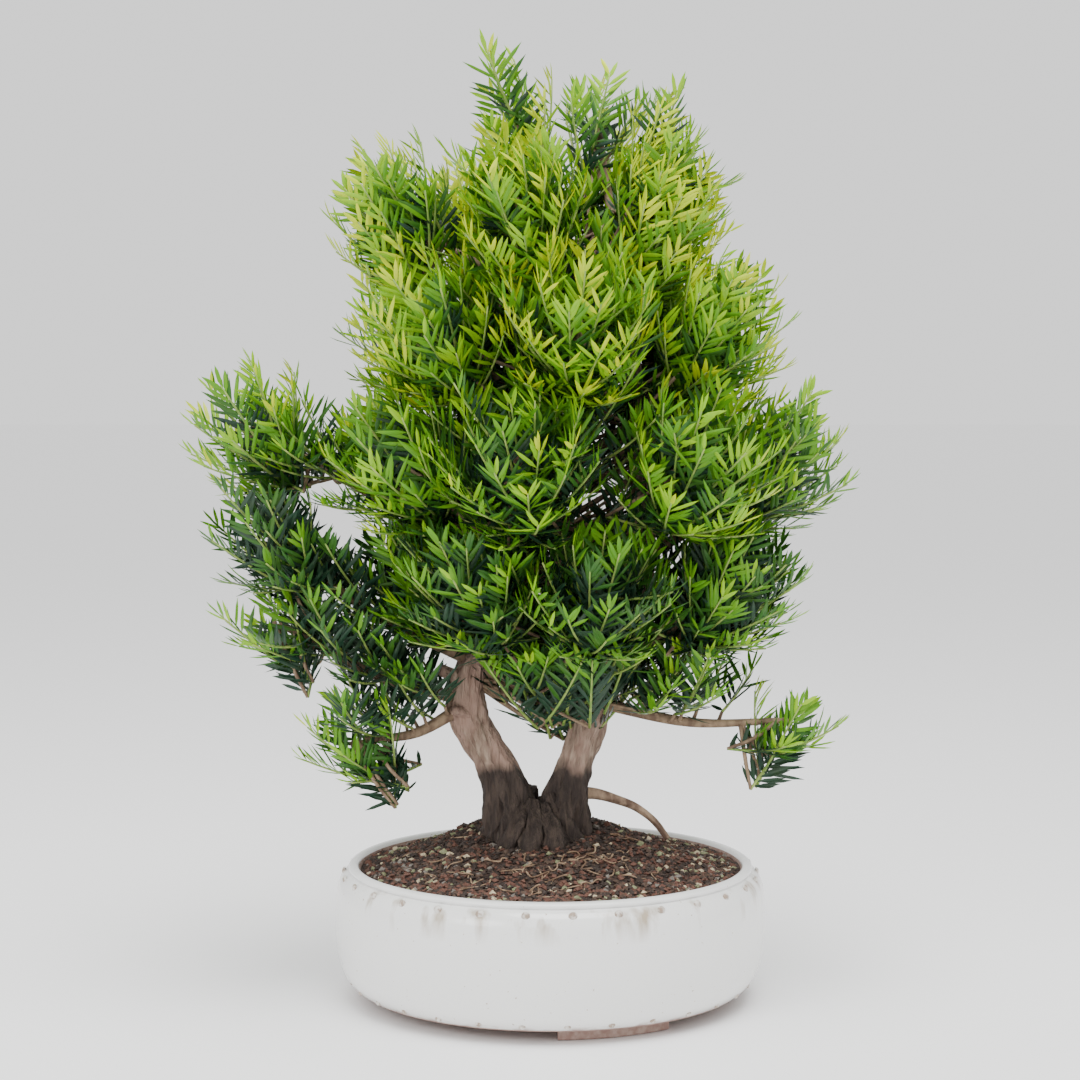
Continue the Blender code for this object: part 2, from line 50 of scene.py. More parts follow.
axis = Vector(((pot_low.x + pot_high.x) / 2, (pot_low.y + pot_high.y) / 2, 0.0))
UP = Vector((0.0, 0.0, 1.0))
RIM_HEIGHT = pot_high.z
BELLY_RADIUS = (pot_high.x - pot_low.x) / 2
RIM_INNER_RADIUS = 0.133
BASE_RADIUS = 0.135
FOOT_HEIGHT = 0.008
FLOOR_TOP = 0.020
DRAIN_RADIUS = 0.014
POT_STEPS = 180
POT_PROFILE = (
    (0.1340, 0.0905), (0.1347, 0.0924), (0.1365, RIM_HEIGHT), (0.1388, 0.0930), (0.1406, 0.0920),
    (0.1413, 0.0906), (0.1408, 0.0895), (0.1401, 0.0890), (0.1412, 0.0884), (0.1440, 0.0866),
    (0.1470, 0.0828), (0.1488, 0.0780), (0.1497, 0.0710), (BELLY_RADIUS, 0.0600), (0.1499, 0.0460),
    (0.1490, 0.0350), (0.1470, 0.0250), (0.1435, 0.0165), (0.1390, 0.0110), (0.1362, 0.0090),
)
CLAY_PROFILE = (
    (0.1362, 0.0090), (BASE_RADIUS, FOOT_HEIGHT), (0.1300, FOOT_HEIGHT), (0.0700, FOOT_HEIGHT),
    (DRAIN_RADIUS, FOOT_HEIGHT), (DRAIN_RADIUS, FLOOR_TOP), (0.1180, FLOOR_TOP),
    (RIM_INNER_RADIUS, 0.0340), (RIM_INNER_RADIUS, 0.0890), (0.1340, 0.0905),
)
GLAZE_WHITE = (0.84, 0.84, 0.82)
SPECK_BROWN = (0.45, 0.36, 0.27)
DRIP_BROWN = (0.42, 0.35, 0.26)
WORN_BROWN = (0.36, 0.24, 0.20)
CLAY_DARK = (0.30, 0.19, 0.16)
CLAY_PALE = (0.42, 0.31, 0.26)
# Heights over which the drips fade out below and above, and the glaze wears off at the base.
DRIP_FOOT = (0.066, 0.080)
DRIP_TOP = (0.0895, 0.0865)
BASE_WEAR = (0.0125, 0.0085)


def heading(azimuth):
    """The level direction at an azimuth in degrees, 0 to the front and growing to the right."""
    angle = math.radians(azimuth)
    return Vector((math.sin(angle), -math.cos(angle), 0.0))


def make_object(name, verts, faces, material, smooth=True):
    mesh = bpy.data.meshes.new(name)
    mesh.from_pydata([tuple(vert) for vert in verts], [], [tuple(face) for face in faces])
    mesh.transform(Matrix.Translation(axis))
    mesh.materials.append(material)
    if smooth:
        mesh.shade_smooth()
    obj = bpy.data.objects.new(name, mesh)
    bpy.context.collection.objects.link(obj)
    return obj


def make_piece(name, verts, faces, material, smooth=True):
    """A piece of the plant or its pot, which all ride on one body."""
    obj = make_object(name, verts, faces, material, smooth)
    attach(obj, "root")
    return obj


def blotch_group():
    """Puts out a mask of soft blotches, and the noise under it to raise the surface with."""
    group = bpy.data.node_groups.new("blotches", "ShaderNodeTree")
    for name, value in (("Scale", 30.0), ("Stretch", 1.0), ("Low", 0.45), ("High", 0.65)):
        socket = group.interface.new_socket(name, in_out="INPUT", socket_type="NodeSocketFloat")
        socket.default_value = value
    group.interface.new_socket("Mask", in_out="OUTPUT", socket_type="NodeSocketFloat")
    group.interface.new_socket("Grain", in_out="OUTPUT", socket_type="NodeSocketFloat")
    nodes, links = group.nodes, group.links
    source = nodes.new("NodeGroupInput")
    sink = nodes.new("NodeGroupOutput")
    place = nodes.new("ShaderNodeTexCoord")
    shape = nodes.new("ShaderNodeCombineXYZ")
    shape.inputs["X"].default_value = 1.0
    shape.inputs["Y"].default_value = 1.0
    links.new(source.outputs["Stretch"], shape.inputs["Z"])
    stretch = nodes.new("ShaderNodeVectorMath")
    stretch.operation = "MULTIPLY"
    links.new(place.outputs["Object"], stretch.inputs[0])
    links.new(shape.outputs["Vector"], stretch.inputs[1])
    coarse = nodes.new("ShaderNodeTexNoise")
    coarse.inputs["Detail"].default_value = 4.0
    links.new(stretch.outputs["Vector"], coarse.inputs["Vector"])
    links.new(source.outputs["Scale"], coarse.inputs["Scale"])
    ramp = nodes.new("ShaderNodeMapRange")
    links.new(coarse.outputs["Fac"], ramp.inputs["Value"])
    links.new(source.outputs["Low"], ramp.inputs["From Min"])
    links.new(source.outputs["High"], ramp.inputs["From Max"])
    links.new(ramp.outputs["Result"], sink.inputs["Mask"])
    links.new(coarse.outputs["Fac"], sink.inputs["Grain"])
    return group


blotches = blotch_group()


class Finish:
    """One material while it is built. Colours are either plain ones or other nodes' outputs."""

    def __init__(self, name, colour, roughness):
        self.material = bpy.data.materials.new(name)
        self.material.use_nodes = True
        self.nodes = self.material.node_tree.nodes
        self.links = self.material.node_tree.links
        self.shader = self.nodes["Principled BSDF"]
        self.shader.inputs["Base Color"].default_value = (*colour, 1.0)
        self.shader.inputs["Roughness"].default_value = roughness

    def add_blotches(self, scale, low, high, stretch=1.0):
        """Blotches of this scale. A stretch under 1 draws them out upright."""
        node = self.nodes.new("ShaderNodeGroup")
        node.node_tree = blotches
        for name, value in (("Scale", scale), ("Stretch", stretch), ("Low", low), ("High", high)):
            node.inputs[name].default_value = value
        return node.outputs

    def mix(self, mask, first, second):
        mix = self.nodes.new("ShaderNodeMix")
        mix.data_type = "RGBA"
        for socket, colour in (("A", first), ("B", second)):
            if isinstance(colour, tuple):
                mix.inputs[socket].default_value = (*colour, 1.0)
            else:
                self.links.new(colour, mix.inputs[socket])
        self.links.new(mask, mix.inputs["Factor"])
        return mix.outputs["Result"]

    def height_mask(self, band, wander=0.0):
        """Runs from 0 at the band's first height to 1 at its second, along a wandering edge."""
        place = self.nodes.new("ShaderNodeTexCoord")
        split = self.nodes.new("ShaderNodeSeparateXYZ")
        self.links.new(place.outputs["Object"], split.inputs["Vector"])
        stray = self.nodes.new("ShaderNodeMath")
        stray.operation = "MULTIPLY_ADD"
        stray.inputs[1].default_value = wander
        wobble = self.add_blotches(scale=45.0, low=0.3, high=0.7, stretch=0.6)
        self.links.new(wobble["Grain"], stray.inputs[0])
        self.links.new(split.outputs["Z"], stray.inputs[2])
        ramp = self.nodes.new("ShaderNodeMapRange")
        ramp.inputs["From Min"].default_value = band[0]
        ramp.inputs["From Max"].default_value = band[1]
        self.links.new(stray.outputs["Value"], ramp.inputs["Value"])
        return ramp.outputs["Result"]

    def times(self, first, second):
        product = self.nodes.new("ShaderNodeMath")
        product.operation = "MULTIPLY"
        self.links.new(first, product.inputs[0])
        self.links.new(second, product.inputs[1])
        return product.outputs["Value"]

    def paint(self, colour):
        self.links.new(colour, self.shader.inputs["Base Color"])

    def raise_by(self, height, strength, distance):
        bump = self.nodes.new("ShaderNodeBump")
        bump.inputs["Strength"].default_value = strength
        bump.inputs["Distance"].default_value = distance
        self.links.new(height, bump.inputs["Height"])
        self.links.new(bump.outputs["Normal"], self.shader.inputs["Normal"])


def turned(profile):
    """A profile of (radius, height), with the outer side's top first, turned into a skin."""
    verts = []
    for step in range(POT_STEPS):
        out = heading(360.0 * step / POT_STEPS)
        verts += [out * radius + UP * height for radius, height in profile]
    faces = []
    rows = len(profile)
    for step in range(POT_STEPS):
        here = step * rows
        there = (step + 1) % POT_STEPS * rows
        faces += [(here + k + 1, there + k + 1, there + k, here + k) for k in range(rows - 1)]
    return verts, faces


glaze = Finish("white_glaze", GLAZE_WHITE, roughness=0.22)
glaze.shader.inputs["Coat Weight"].default_value = 0.4
glaze.shader.inputs["Coat Roughness"].default_value = 0.1
specks = glaze.add_blotches(scale=420.0, low=0.70, high=0.74)
drips = glaze.add_blotches(scale=62.0, low=0.52, high=0.66, stretch=0.12)
drip_band = glaze.times(glaze.height_mask(DRIP_FOOT), glaze.height_mask(DRIP_TOP))
chips = glaze.add_blotches(scale=90.0, low=0.42, high=0.62)
worn_edge = glaze.times(chips["Mask"], glaze.height_mask(BASE_WEAR))
colour = glaze.mix(specks["Mask"], GLAZE_WHITE, SPECK_BROWN)
colour = glaze.mix(glaze.times(drips["Mask"], drip_band), colour, DRIP_BROWN)
glaze.paint(glaze.mix(worn_edge, colour, WORN_BROWN))
throwing = glaze.add_blotches(scale=60.0, low=0.4, high=0.6)
glaze.raise_by(throwing["Grain"], strength=0.15, distance=0.002)
pot_glazed = make_piece("pot_glazed_wall", *turned(POT_PROFILE), glaze.material)
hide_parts("pot")

bare_clay = Finish("bare_clay", CLAY_DARK, roughness=0.85)
clay_spots = bare_clay.add_blotches(scale=200.0, low=0.4, high=0.65)
bare_clay.paint(bare_clay.mix(clay_spots["Mask"], CLAY_DARK, CLAY_PALE))
bare_clay.raise_by(clay_spots["Grain"], strength=0.5, distance=0.001)
pot_clay = make_piece("pot_bare_base", *turned(CLAY_PROFILE), bare_clay.material)
pot_clay.data.set_sharp_from_angle(angle=math.radians(40))

# The feet are three arcs of a low ring of bare clay, pressed on under the base before firing.
# Their lower edges are eased, so that the pot doesn't chip when it is set down.
FOOT_AZIMUTHS = (20.0, 140.0, 260.0)
FOOT_SPAN = 36.0
FOOT_STEPS = 16
FOOT_SECTION = (
    (0.104, 0.0095), (0.104, 0.0008), (0.1048, 0.0),
    (0.1262, 0.0), (0.127, 0.0008), (0.127, 0.0095),
)


def ring_faces(first, corners, rings):
    """The quads between rings of corners, numbered on from the first corner."""
    faces = []
    for ring in range(rings - 1):
        here = first + ring * corners
        for k in range(corners):
            ahead = (k + 1) % corners
            faces.append((here + k, here + ahead, here + corners + ahead, here + corners + k))
    return faces


def last_cap(first, corners, rings):
    return [first + (rings - 1) * corners + k for k in range(corners)]


def closed_faces(first, corners, rings):
    """The faces of a closed tube of rings, with both of its ends."""
    first_cap = [first + k for k in reversed(range(corners))]
    return ring_faces(first, corners, rings) + [first_cap, last_cap(first, corners, rings)]


verts, faces = [], []
for azimuth in FOOT_AZIMUTHS:
    faces += closed_faces(len(verts), len(FOOT_SECTION), FOOT_STEPS + 1)
    for step in range(FOOT_STEPS + 1):
        out = heading(azimuth + FOOT_SPAN * (step / FOOT_STEPS - 0.5))
        verts += [out * radius + UP * height for radius, height in FOOT_SECTION]
pot_feet = make_piece("pot_feet", verts, faces, bare_clay.material, smooth=False)

# The studs are small dots of clay in two rows, pressed on under the lip and above the base.
# The glaze has worn thin on them, so that the brown clay shows in places.
STUD_COUNT = 30
STUD_CORNERS = 12
# Rows of the first azimuth, the wall's radius and height there, and a stud's size and rise.
STUD_ROWS = (
    (5.5, 0.1448, 0.0852, 0.0031, 0.0016),
    (4.3, 0.1400, 0.0128, 0.0025, 0.0012),
)
# The dome's rings, as shares of a stud's size and rise.
STUD_DOME = ((1.0, -0.4), (0.92, 0.35), (0.62, 0.80), (0.25, 1.0))
STUD_GREY = (0.62, 0.58, 0.52)
STUD_GLAZED = (0.70, 0.67, 0.62)
STUD_WORN = (0.34, 0.26, 0.20)


def stud_corners(azimuth, radius, height, size, rise):
    out = heading(azimuth)
    side = UP.cross(out)
    corners = []
    for share, lift in STUD_DOME:
        centre = out * (radius + rise * lift) + UP * height
        for k in range(STUD_CORNERS):
            turn = math.tau * k / STUD_CORNERS
            corners.append(centre + (side * math.cos(turn) + UP * math.sin(turn)) * size * share)
    return corners


stud_glaze = Finish("stud_glaze", STUD_GREY, roughness=0.35)
stud_spots = stud_glaze.add_blotches(scale=300.0, low=0.42, high=0.58)
stud_glaze.paint(stud_glaze.mix(stud_spots["Mask"], STUD_GLAZED, STUD_WORN))
verts, faces = [], []
for index in range(STUD_COUNT):
    for first_azimuth, *stud in STUD_ROWS:
        faces += ring_faces(len(verts), STUD_CORNERS, len(STUD_DOME))
        faces.append(last_cap(len(verts), STUD_CORNERS, len(STUD_DOME)))
        verts += stud_corners(first_azimuth + 360.0 / STUD_COUNT * index, *stud)
pot_studs = make_piece("pot_studs", verts, faces, stud_glaze.material)

# The soil is a mound of dark moist grit and bark that fills the pot to just under its lip.
# Round the trunk it is highest, and more so at the back. From there it falls to the edge.
SOIL_EDGE_HEIGHT = 0.0885
SEAT_HEIGHT = 0.1075
SEAT_RADIUS = 0.043
SEAT_X = -0.009
CREST_RISE = 0.005
CREST_TILT = 0.007
CREST_HEART = 0.012
WALL_GAP = 0.0003
SOIL_RINGS = 90
SOIL_STEPS = 220
# Lumps in the surface, coarse and fine: their scale, their height and where the noise is cut.
SOIL_LUMPS = ((38.0, 0.0035, 0.3), (120.0, 0.0020, 0.9))
EDGE_SMOOTHING = 0.6
SOIL_BROWN = (0.045, 0.028, 0.021)
SOIL_BLACK = (0.028, 0.017, 0.013)
SOIL_CRUMB = (0.085, 0.050, 0.036)
SOIL_RED = (0.12, 0.058, 0.040)


def soil_height(x, y):
    away = x - SEAT_X
    reach = math.hypot(away, y)
    crest = SEAT_HEIGHT + CREST_RISE + CREST_TILT * (y / max(reach, CREST_HEART))
    flat = SEAT_RADIUS * 0.8
    edge = RIM_INNER_RADIUS - SEAT_X * away / max(reach, 1e-6)
    share = min(max((reach - flat) / (edge - flat), 0.0), 1.0)
    fall = share * share * (3 - 2 * share)
    lumps = sum(noise.noise(Vector((x, y, cut)) * scale) * rise for scale, rise, cut in SOIL_LUMPS)
    return crest + (SOIL_EDGE_HEIGHT - crest) * fall + lumps * (1.0 - EDGE_SMOOTHING * share)


earth = Finish("damp_soil", SOIL_BROWN, roughness=0.9)
crumbs = earth.add_blotches(scale=260.0, low=0.42, high=0.62)
reds = earth.add_blotches(scale=90.0, low=0.50, high=0.66)
colour = earth.mix(crumbs["Mask"], SOIL_BLACK, SOIL_CRUMB)
earth.paint(earth.mix(reds["Mask"], colour, SOIL_RED))
earth.raise_by(crumbs["Grain"], strength=0.9, distance=0.004)
verts = [Vector((0.0, 0.0, soil_height(0.0, 0.0)))]
for ring in range(1, SOIL_RINGS + 1):
    radius = (RIM_INNER_RADIUS - WALL_GAP) * ring / SOIL_RINGS
    for step in range(SOIL_STEPS):
        out = heading(360.0 * step / SOIL_STEPS) * radius
        verts.append(Vector((out.x, out.y, soil_height(out.x, out.y))))
faces = [(0, 1 + (k + 1) % SOIL_STEPS, 1 + k) for k in range(SOIL_STEPS)]
faces += ring_faces(1, SOIL_STEPS, SOIL_RINGS)
faces = [face[::-1] for face in faces]
soil_top = make_piece("soil_mound", verts, faces, earth.material)
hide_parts("soil")

# Loose grains lie on the mound: dark crumbs of bark, reddish lava grit, and pale pumice
# pebbles that have washed out towards the rim. Each is a rough lump with seven corners.

# Rows of name, colour, how many, smallest and largest half size, and the pull to the rim.
GRAIN_KINDS = (
    ("soil_grains_dark", (0.030, 0.018, 0.013), 4200, (0.0012, 0.0030), 0.0),
    ("soil_grains_red", (0.110, 0.046, 0.030), 2100, (0.0014, 0.0032), 0.70),
    ("soil_grains_brown", (0.070, 0.041, 0.027), 1500, (0.0014, 0.0032), 0.55),
    ("soil_pebbles_cream", (0.46, 0.38, 0.25), 170, (0.0018, 0.0036), 0.90),
    ("soil_pebbles_green", (0.20, 0.21, 0.11), 200, (0.0020, 0.0038), 0.88),
    ("soil_pebbles_grey", (0.16, 0.14, 0.12), 170, (0.0018, 0.0036), 0.80),
)
GRAIN_RING = ((1, 0, 0.2), (0.3, 0.9, -0.2), (-0.8, 0.6, 0.2), (-0.8, -0.6, -0.2), (0.3, -0.9, 0.2))
GRAIN_ENDS = ((0, 0.1, 1), (0, -0.1, -1))
GRAIN_CORNERS = [Vector(corner).normalized() for corner in GRAIN_RING + GRAIN_ENDS]
GRAIN_FACES = [(k, (k + 1) % 5, 5) for k in range(5)] + [((k + 1) % 5, k, 6) for k in range(5)]
GRAIN_SUNK = 0.25
RIM_CLEARANCE = 0.004
# Half the width and depth of the trunk's foot, where no grain lies.
TRUNK_FOOT = (0.034, 0.030)


def paler(colour):
    return tuple(min(channel * 1.5 + 0.02, 1.0) for channel in colour)


def lies_clear(place):
    return math.hypot((place.x - SEAT_X) / TRUNK_FOOT[0], place.y / TRUNK_FOOT[1]) >= 1.0


grain_dice = random.Random(7)
for name, tint, count, sizes, rim_pull in GRAIN_KINDS:
    stone = Finish(name, tint, roughness=0.85)
    mottle = stone.add_blotches(scale=500.0, low=0.4, high=0.7)
    stone.paint(stone.mix(mottle["Mask"], tint, paler(tint)))
    stone.raise_by(mottle["Grain"], strength=0.6, distance=0.001)
    verts, faces = [], []
    while len(verts) < count * len(GRAIN_CORNERS):
        reach = (RIM_INNER_RADIUS - RIM_CLEARANCE) * math.sqrt(grain_dice.random())
        if grain_dice.random() < rim_pull * (1.0 - (reach / RIM_INNER_RADIUS) ** 3):
            continue
        out = heading(grain_dice.uniform(0.0, 360.0)) * reach
        if not lies_clear(out):
            continue
        size = grain_dice.uniform(*sizes)
        turn = Matrix.Rotation(grain_dice.uniform(0, math.tau), 3, "Z")
        turn = turn @ Matrix.Rotation(grain_dice.uniform(-0.6, 0.6), 3, "X")
        centre = Vector((out.x, out.y, soil_height(out.x, out.y) + size * GRAIN_SUNK))
        faces += [tuple(len(verts) + k for k in face) for face in GRAIN_FACES]
        for corner in GRAIN_CORNERS:
            flat = Vector((corner.x, corner.y * grain_dice.uniform(0.6, 0.9), corner.z))
            flat.z *= grain_dice.uniform(0.5, 0.8)
            verts.append(centre + turn @ (flat * size * grain_dice.uniform(0.85, 1.15)))
    grains = make_piece(name, verts, faces, stone.material, smooth=False)

# The wood is a flared foot that forks low into two stems, which lean apart and taper to the
# top. The bark peels in long fibres, dark and damp near the soil and pale tan above it, and
# old cuts have healed to short stubs.

# Rows of a stem are (x, y, height, radius), from below the soil's seat to the tip.
LEFT_STEM = (
    (-0.0225, 0.000, 0.0950, 0.0225),
    (-0.0270, 0.000, 0.1280, 0.0185),
    (-0.0345, 0.000, 0.1530, 0.0140),
    (-0.0556, 0.000, 0.1920, 0.0132),
    (-0.0570, 0.001, 0.2215, 0.0110),
    (-0.0480, 0.003, 0.2420, 0.0095),
    (-0.0177, 0.008, 0.2780, 0.0078),
    (-0.0100, 0.012, 0.3600, 0.0058),
    (0.0090, 0.008, 0.4600, 0.0042),
    (0.0080, 0.002, 0.5450, 0.0024),
)
RIGHT_STEM = (
    (0.0060, 0.000, 0.0950, 0.0205),
    (0.0115, 0.001, 0.1320, 0.0160),
    (0.0165, 0.001, 0.1580, 0.0118),
    (0.0279, 0.002, 0.1947, 0.0128),
    (0.0360, 0.006, 0.2340, 0.0108),
    (0.0600, 0.014, 0.2900, 0.0088),
    (0.0640, 0.014, 0.3850, 0.0065),
    (0.0540, 0.010, 0.4650, 0.0048),
    (0.0460, 0.006, 0.5450, 0.0024),
)
STEM_CORNERS = 56
STEM_RELIEF = 0.30
FLARE_AZIMUTHS = (-88.0, -48.0, -16.0, 22.0, 58.0, 96.0, 150.0, 205.0, 242.0)
FLARE_CORNERS = 40
FLARE_RELIEF = 0.45
# Stubs of old cuts: where each starts and ends, and its radius.
STUBS = (
    ((-0.058, -0.002, 0.220), (-0.077, -0.008, 0.2285), 0.0048),
    ((-0.055, -0.004, 0.196), (-0.067, -0.016, 0.2010), 0.0042),
    ((0.0330, -0.004, 0.219), (0.046, -0.014, 0.2290), 0.0038),
)
STUB_CORNERS = 20
STUB_RELIEF = 0.3
# Ridges of the bark: how close they lie round the wood and up it, their share of the relief,
# and where their noise is cut.
BARK_FIBRES = ((4.5, 60.0, 0.6, 7.0), (10.0, 130.0, 0.35, 11.0))
DAMP_EDGE = (0.189, 0.179)
BARK_BROWN = (0.32, 0.22, 0.16)
BARK_DARK = (0.17, 0.105, 0.075)
BARK_TAN = (0.44, 0.33, 0.25)
BARK_ROSE = (0.34, 0.22, 0.17)
DAMP_DARK = (0.030, 0.020, 0.016)
DAMP_PALE = (0.075, 0.052, 0.040)


def smooth_rows(rows, steps):
    """Rows of (x, y, z, radius) with rounded ones added between them."""
    rows = [Vector(row) for row in rows]
    padded = [2 * rows[0] - rows[1], *rows, 2 * rows[-1] - rows[-2]]
    smooth = []
    for before, start, end, after in zip(padded, padded[1:], padded[2:], padded[3:]):
        for step in range(steps):
            t = step / steps
            smooth.append(
                0.5 * (
                    2 * start
                    + t * (end - before)
                    + t**2 * (2 * before - 5 * start + 4 * end - after)
                    + t**3 * (3 * start - before - 3 * end + after)
                )
            )
    smooth.append(rows[-1])
    return smooth


def bark_swell(turn, centre, relief):
    """How far the bark stands out: broad lobes that wind with the wood, and fibres on them."""
    lobes = Vector((turn * 1.6 + centre.x * 9, centre.z * 26.0, centre.y * 9 + 3.0))
    swell = 1.0 + relief * noise.noise(lobes)
    for around, upward, share, cut in BARK_FIBRES:
        swell += relief * share * noise.noise(Vector((turn * around, centre.z * upward, cut)))
    return swell


def add_tube(rows, corners, verts, faces, relief=0.0):
    """A closed tapering tube through rows of (x, y, z, radius), with bark's relief if any."""
    faces += closed_faces(len(verts), corners, len(rows))
    side = Vector((1.0, 0.0, 0.0))
    for index, row in enumerate(rows):
        ahead = rows[min(index + 1, len(rows) - 1)]
        behind = rows[max(index - 1, 0)]
        along = (ahead - behind).to_3d().normalized()
        side = (side - along * side.dot(along)).normalized()
        other = along.cross(side)
        centre = row.to_3d()
        for k in range(corners):
            turn = math.tau * k / corners
            out = side * math.cos(turn) + other * math.sin(turn)
            swell = bark_swell(turn, centre, relief) if relief else 1.0
            verts.append(centre + out * row.w * swell)


def row_of(place, radius):
    return Vector((*place, radius))


bark = Finish("bark", BARK_BROWN, roughness=0.88)
fibres = bark.add_blotches(scale=240.0, low=0.38, high=0.66, stretch=0.16)
patches = bark.add_blotches(scale=55.0, low=0.42, high=0.60, stretch=0.5)
dry = bark.mix(fibres["Mask"], BARK_DARK, BARK_TAN)
dry = bark.mix(patches["Mask"], dry, BARK_ROSE)
wet = bark.mix(fibres["Mask"], DAMP_DARK, DAMP_PALE)
bark.paint(bark.mix(bark.height_mask(DAMP_EDGE, wander=0.045), dry, wet))
bark.raise_by(fibres["Grain"], strength=1.0, distance=0.006)
verts, faces = [], []
for stem in (LEFT_STEM, RIGHT_STEM):
    add_tube(smooth_rows(stem, 22), STEM_CORNERS, verts, faces, STEM_RELIEF)
wood_dice = random.Random(5)
seat_middle = Vector((SEAT_X, 0.0, 0.0))
# Each flare runs from the heart of the trunk over a knee down to a toe under the soil.
for azimuth in FLARE_AZIMUTHS:
    out = heading(azimuth + wood_dice.uniform(-6.0, 6.0))
    thick = wood_dice.uniform(0.85, 1.25)
    heart = seat_middle + out * 0.010 + UP * (SEAT_HEIGHT + wood_dice.uniform(0.024, 0.036))
    knee = seat_middle + out * 0.022 + UP * (SEAT_HEIGHT + wood_dice.uniform(0.004, 0.012))
    toe = seat_middle + out * wood_dice.uniform(0.034, 0.041) + UP * (SEAT_HEIGHT - 0.010)
    flare = [row_of(heart, 0.005), row_of(knee, 0.0125 * thick), row_of(toe, 0.006 * thick)]
    add_tube(smooth_rows(flare, 12), FLARE_CORNERS, verts, faces, FLARE_RELIEF)
for root, end, radius in STUBS:
    halfway = (Vector(root) + Vector(end)) / 2
    stub = [row_of(root, radius * 1.5), row_of(halfway, radius), row_of(end, radius * 0.8)]
    add_tube(smooth_rows(stub, 6), STUB_CORNERS, verts, faces, STUB_RELIEF)
wood = make_piece("bark_of_trunk_and_stems", verts, faces, bark.material)
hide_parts("trunk", "left_stem", "right_stem")

# One root leaves the right of the trunk above the soil and arches over it. It comes down about
# halfway to the rim and stops 4 mm above the mound. Its bark has weathered to a pale brown.
SURFACE_ROOT = (
    (0.020, 0.004, 0.140, 0.0046),
    (0.032, 0.006, 0.139, 0.0038),
    (0.046, 0.008, 0.135, 0.0031),
    (0.060, 0.011, 0.129, 0.0027),
    (0.073, 0.012, 0.119, 0.0024),
    (0.083, 0.012, 0.106, 0.0022),
)
ROOT_CORNERS = 20
ROOT_RELIEF = 0.25
ROOT_BROWN = (0.26, 0.17, 0.11)
ROOT_DARK = (0.14, 0.085, 0.058)
ROOT_PALE = (0.40, 0.28, 0.19)

root_skin = Finish("root_bark", ROOT_BROWN, roughness=0.88)
strands = root_skin.add_blotches(scale=160.0, low=0.38, high=0.64, stretch=0.5)
root_skin.paint(root_skin.mix(strands["Mask"], ROOT_DARK, ROOT_PALE))
root_skin.raise_by(strands["Grain"], strength=0.8, distance=0.002)
verts, faces = [], []
add_tube(smooth_rows(SURFACE_ROOT, 12), ROOT_CORNERS, verts, faces, ROOT_RELIEF)
root_bark = make_piece("bark_of_surface_root", verts, faces, root_skin.material)
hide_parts("surface_root")

# Thin tan rootlets lie bare on the soil, mostly in front of the trunk, where watering has
# washed the grit off them. Each is a bent thread of about two centimetres.
ROOTLET_COUNT = 46
ROOTLET_JOINTS = 5
ROOTLET_CORNERS = 6
ROOTLET_RADIUS = 0.0007
ROOTLET_TAPER = 0.00008
ROOTLET_BROWN = (0.30, 0.19, 0.11)
ROOTLET_DARK = (0.17, 0.10, 0.06)
ROOTLET_PALE = (0.40, 0.28, 0.18)

rootlet_skin = Finish("rootlets", ROOTLET_BROWN, roughness=0.85)
threads = rootlet_skin.add_blotches(scale=150.0, low=0.4, high=0.62)
rootlet_skin.paint(rootlet_skin.mix(threads["Mask"], ROOTLET_DARK, ROOTLET_PALE))
verts, faces = [], []
for index in range(ROOTLET_COUNT):
    azimuth = wood_dice.gauss(10.0, 55.0)
    start = seat_middle + heading(azimuth) * wood_dice.uniform(0.046, 0.100)
    turn = azimuth + wood_dice.uniform(-100.0, 100.0)
    rows = []
    for joint in range(ROOTLET_JOINTS):
        place = start + heading(turn) * joint * wood_dice.uniform(0.003, 0.006)
        turn += wood_dice.uniform(-35.0, 35.0)
        place.z = soil_height(place.x, place.y) + wood_dice.uniform(0.0006, 0.0028)
        rows.append(row_of(place, ROOTLET_RADIUS - ROOTLET_TAPER * joint))
    add_tube(smooth_rows(rows, 4), ROOTLET_CORNERS, verts, faces)
rootlets = make_piece("rootlets_on_soil", verts, faces, rootlet_skin.material)

# The shoots are the growth of the last years: thin green stems with needles in two ranks.
# A needle is a flat blade with a keel, narrow at the root, pointed and bent up a little, and
# the ranks stand up in a V. Needles are blue-green on old wood and yellow-green at the tips,
# and inside the crown the darker tints are also painted shade.

# The tints run from the youngest needles to the oldest; the darker ones also serve as painted
# shade.
NEEDLE_TINTS = (
    ("needles_new", (0.40, 0.56, 0.006)),
    ("needles_bright", (0.20, 0.43, 0.005)),
    ("needles_green", (0.082, 0.255, 0.006)),
    ("needles_deep", (0.026, 0.110, 0.012)),
    ("needles_old_and_shaded", (0.012, 0.046, 0.024)),
)
NEEDLE_LENGTH = 0.0262
NEEDLE_WIDTH = 0.0030
NEEDLE_PITCH = 0.0024
# How far a needle points away from its stem, its scatter, and how much less at the tip.
NEEDLE_SPREAD = 58.0
SPREAD_SCATTER = 9.0
TIP_CLOSING = 34.0
# How far the two ranks are raised to a V, and the scatter of that.
RANK_LIFT = 26.0
LIFT_SCATTER = 20.0
# A blade's waist and breast: how far along it and how far into its bend each of them lies.
WAIST = (0.30, 0.25)
BREAST = (0.72, 0.62)
BREAST_HALF = 0.42
KEEL_DEPTH = 0.22
BEND_RANGE = (0.02, 0.16)
# Needles vary in length. They are shorter at a shoot's foot, and from a share of it on.
LENGTH_RANGE = (0.82, 1.12)
FOOT_LENGTH = 0.6
FOOT_GROWTH = 2.5
SHORTER_FROM = 0.72
TIP_SHORTER = 0.45
